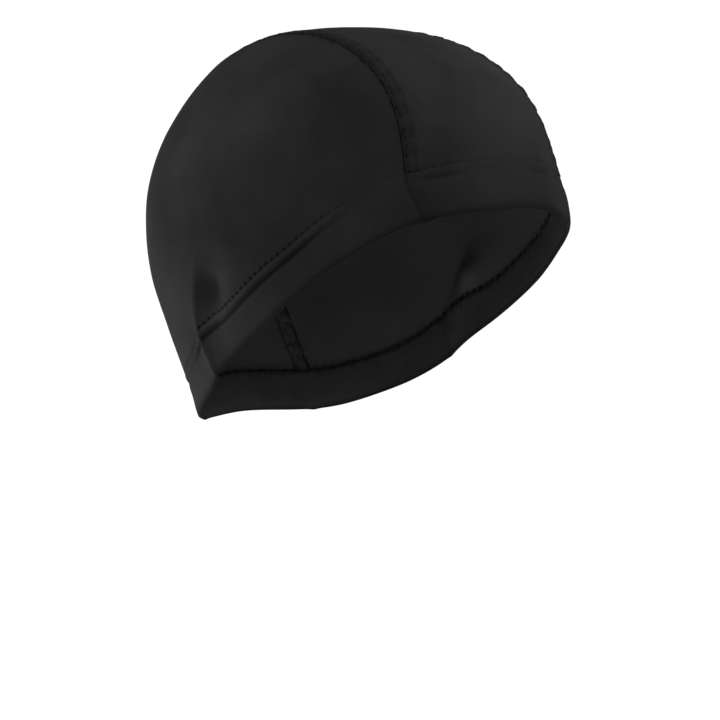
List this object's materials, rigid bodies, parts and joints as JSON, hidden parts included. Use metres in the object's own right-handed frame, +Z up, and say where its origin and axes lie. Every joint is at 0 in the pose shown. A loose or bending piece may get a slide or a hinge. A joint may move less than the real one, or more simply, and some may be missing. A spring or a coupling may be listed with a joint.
{
  "type": "swim cap",
  "caption": "Stretch cloth swim cap in its worn form: a narrow centre strip, side panels, raised seams and a stitched hem.",
  "frame": {"origin": "inside the crown, where the top of the head presses", "axes": "+Z up through the crown, the forehead faces -Y, the wearer's left is +X"},
  "size_m": [0.158, 0.1968, 0.1667],
  "materials": {
    "panel_cloth": "fine black stretch knit, dull with a faint soft sheen",
    "seam_thread": "black thread, dull and knotty",
    "hem_cloth": "fine black stretch knit, double and twice stitched"
  },
  "bodies": {
    "root": {"centre_panel": "panel_cloth", "right_panel": "panel_cloth", "left_panel": "panel_cloth", "right_seam": "seam_thread", "left_seam": "seam_thread", "hem": "hem_cloth"}
  },
  "joints": []
}
